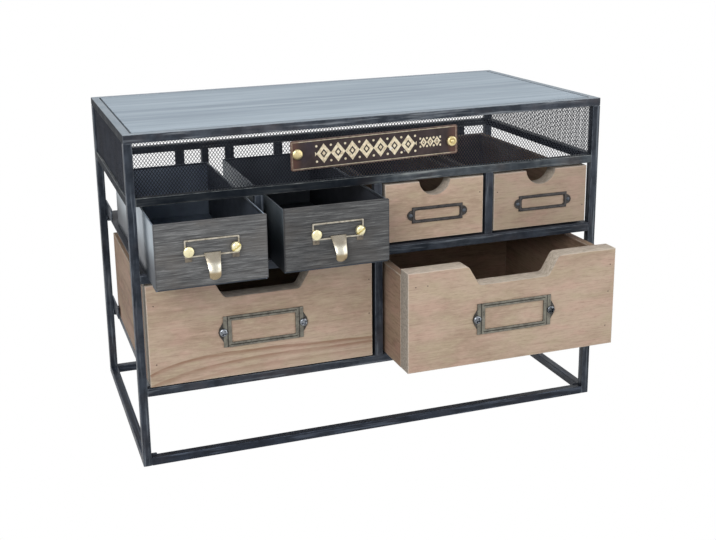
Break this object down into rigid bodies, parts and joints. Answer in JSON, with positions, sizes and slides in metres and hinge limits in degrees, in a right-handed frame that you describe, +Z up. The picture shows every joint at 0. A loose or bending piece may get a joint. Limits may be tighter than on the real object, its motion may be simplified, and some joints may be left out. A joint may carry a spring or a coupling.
{
  "type": "tabletop chest of drawers",
  "caption": "Low tabletop chest: black square-bar frame with mesh band, flat top panel, a row of small drawers over a row of large wooden drawers with finger notches and card holders.",
  "frame": {"origin": "middle of the base ring's 480 by 240 mm footprint, in the plane of the rails' undersides that stand on the table", "axes": "+Z up, +X to the right as seen from the front, the drawers open towards -Y. Drawn as pictured: drawer 1 is out 58 mm, drawer 2 50 mm and drawer 6 55 mm; joint value 0 is that pose"},
  "size_m": [0.48, 0.3094, 0.32],
  "materials": {
    "frame_steel": "satin black, worn edges",
    "top_sheet": "brushed, blue-grey sheen",
    "deck_sheet": "satin grey",
    "mesh_steel": "satin black",
    "sign_face": "distressed paint, dark brown",
    "bolt_brass": "polished",
    "box_steel": "dull galvanised",
    "dark_wood": "dark grey stain",
    "pull_brass": "antique",
    "front_wood": "weathered, matt",
    "tray_wood": "weathered, matt",
    "holder_bronze": "dark antique bronze",
    "screw_steel": "dull"
  },
  "bodies": {
    "frame": {"post_front_left": "frame_steel", "post_front_right": "frame_steel", "post_back_left": "frame_steel", "post_back_right": "frame_steel", "rim_ring": "frame_steel", "top_panel": "top_sheet", "band_rail_front": "frame_steel", "band_rail_back": "frame_steel", "band_rail_left": "frame_steel", "band_rail_right": "frame_steel", "middle_rail_front": "frame_steel", "middle_rail_back": "frame_steel", "lower_rail_front": "frame_steel", "lower_rail_back": "frame_steel", "base_rail_front": "frame_steel", "base_rail_back": "frame_steel", "base_rail_left": "frame_steel", "base_rail_right": "frame_steel", "small_runner_left": "frame_steel", "small_runner_right": "frame_steel", "deck_panel": "deck_sheet", "large_runner_left": "frame_steel", "large_runner_centre": "frame_steel", "large_runner_right": "frame_steel", "small_divider_1": "frame_steel", "small_divider_2": "frame_steel", "small_divider_3": "frame_steel", "large_divider_front": "frame_steel", "large_divider_back": "frame_steel", "back_uprights": "frame_steel", "rear_guides": "frame_steel", "mesh_front": "mesh_steel", "mesh_left": "mesh_steel", "mesh_right": "mesh_steel", "sign_plate": "sign_face", "sign_bolt_left": "bolt_brass", "sign_bolt_right": "bolt_brass"},
    "drawer_1": {"dark_box_1": "box_steel", "dark_front_1": "dark_wood", "dark_pull_1": "pull_brass", "dark_bolts_1": "bolt_brass"},
    "drawer_2": {"dark_box_2": "box_steel", "dark_front_2": "dark_wood", "dark_pull_2": "pull_brass", "dark_bolts_2": "bolt_brass"},
    "drawer_3": {"small_front_3": "front_wood", "small_tray_3": "tray_wood", "small_holder_3": "holder_bronze"},
    "drawer_4": {"small_front_4": "front_wood", "small_tray_4": "tray_wood", "small_holder_4": "holder_bronze"},
    "drawer_5": {"large_front_5": "front_wood", "large_tray_5": "tray_wood", "large_holder_5": "holder_bronze", "large_screws_5": "screw_steel"},
    "drawer_6": {"large_front_6": "front_wood", "large_tray_6": "tray_wood", "large_holder_6": "holder_bronze", "large_screws_6": "screw_steel"}
  },
  "joints": [
    {"name": "drawer_1_slide", "type": "slide", "parent": "frame", "child": "drawer_1", "axis": [0, -1, 0], "range_m": [-0.058, 0.112]},
    {"name": "drawer_2_slide", "type": "slide", "parent": "frame", "child": "drawer_2", "axis": [0, -1, 0], "range_m": [-0.05, 0.12]},
    {"name": "drawer_3_slide", "type": "slide", "parent": "frame", "child": "drawer_3", "axis": [0, -1, 0], "range_m": [0, 0.16]},
    {"name": "drawer_4_slide", "type": "slide", "parent": "frame", "child": "drawer_4", "axis": [0, -1, 0], "range_m": [0, 0.16]},
    {"name": "drawer_5_slide", "type": "slide", "parent": "frame", "child": "drawer_5", "axis": [0, -1, 0], "range_m": [0, 0.15]},
    {"name": "drawer_6_slide", "type": "slide", "parent": "frame", "child": "drawer_6", "axis": [0, -1, 0], "range_m": [-0.055, 0.095]}
  ]
}
